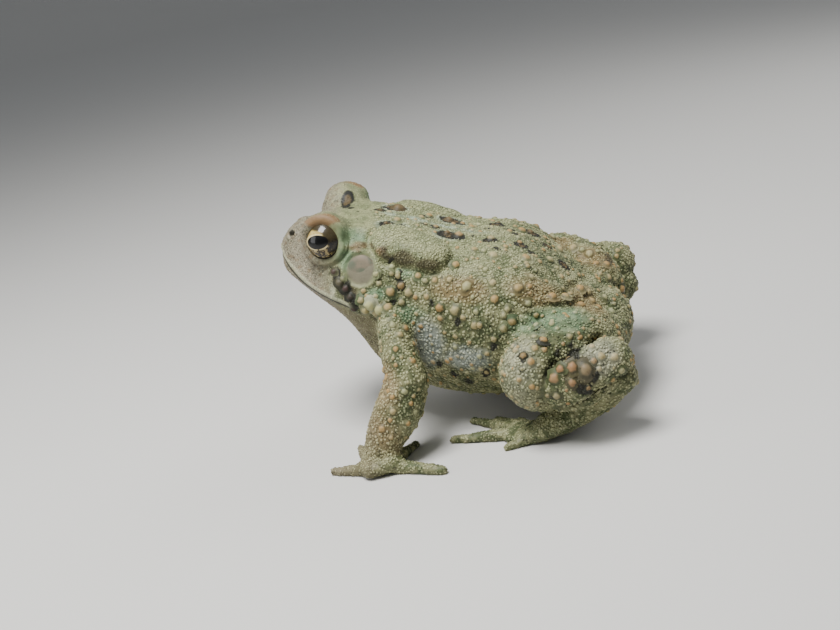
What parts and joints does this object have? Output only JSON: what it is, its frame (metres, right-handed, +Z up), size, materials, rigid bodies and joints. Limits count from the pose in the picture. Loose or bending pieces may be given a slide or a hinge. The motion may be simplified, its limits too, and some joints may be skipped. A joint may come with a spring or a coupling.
{
  "type": "american toad",
  "caption": "American toad, life size, sitting on all fours with its head raised and its warty back sloping down to folded hind legs.",
  "frame": {"origin": "on the floor plane that hands and feet rest on, under the middle of the model's box", "axes": "+X from snout to vent, so the toad faces -X; +Y to the toad's right; +Z up"},
  "size_m": [0.0672, 0.0634, 0.0463],
  "materials": {
    "skin": "dry warty skin, olive tan with darker spots and orange-tan warts",
    "pale_skin": "fine-grained pale skin of lower jaw and throat",
    "eardrum": "smooth thin grey-pink membrane",
    "eye": "wet, glossy, gold iris with a black oval pupil"
  },
  "bodies": {
    "root": {"torso": "skin", "head": "skin", "jaw": "pale_skin", "eye_left": "eye", "eardrum_left": "eardrum", "upper_arm_left": "skin", "forearm_left": "skin", "hand_left": "skin", "thigh_left": "skin", "shank_left": "skin", "ankle_left": "skin", "foot_left": "skin", "eye_right": "eye", "eardrum_right": "eardrum", "upper_arm_right": "skin", "forearm_right": "skin", "hand_right": "skin", "thigh_right": "skin", "shank_right": "skin", "ankle_right": "skin", "foot_right": "skin"}
  },
  "joints": []
}
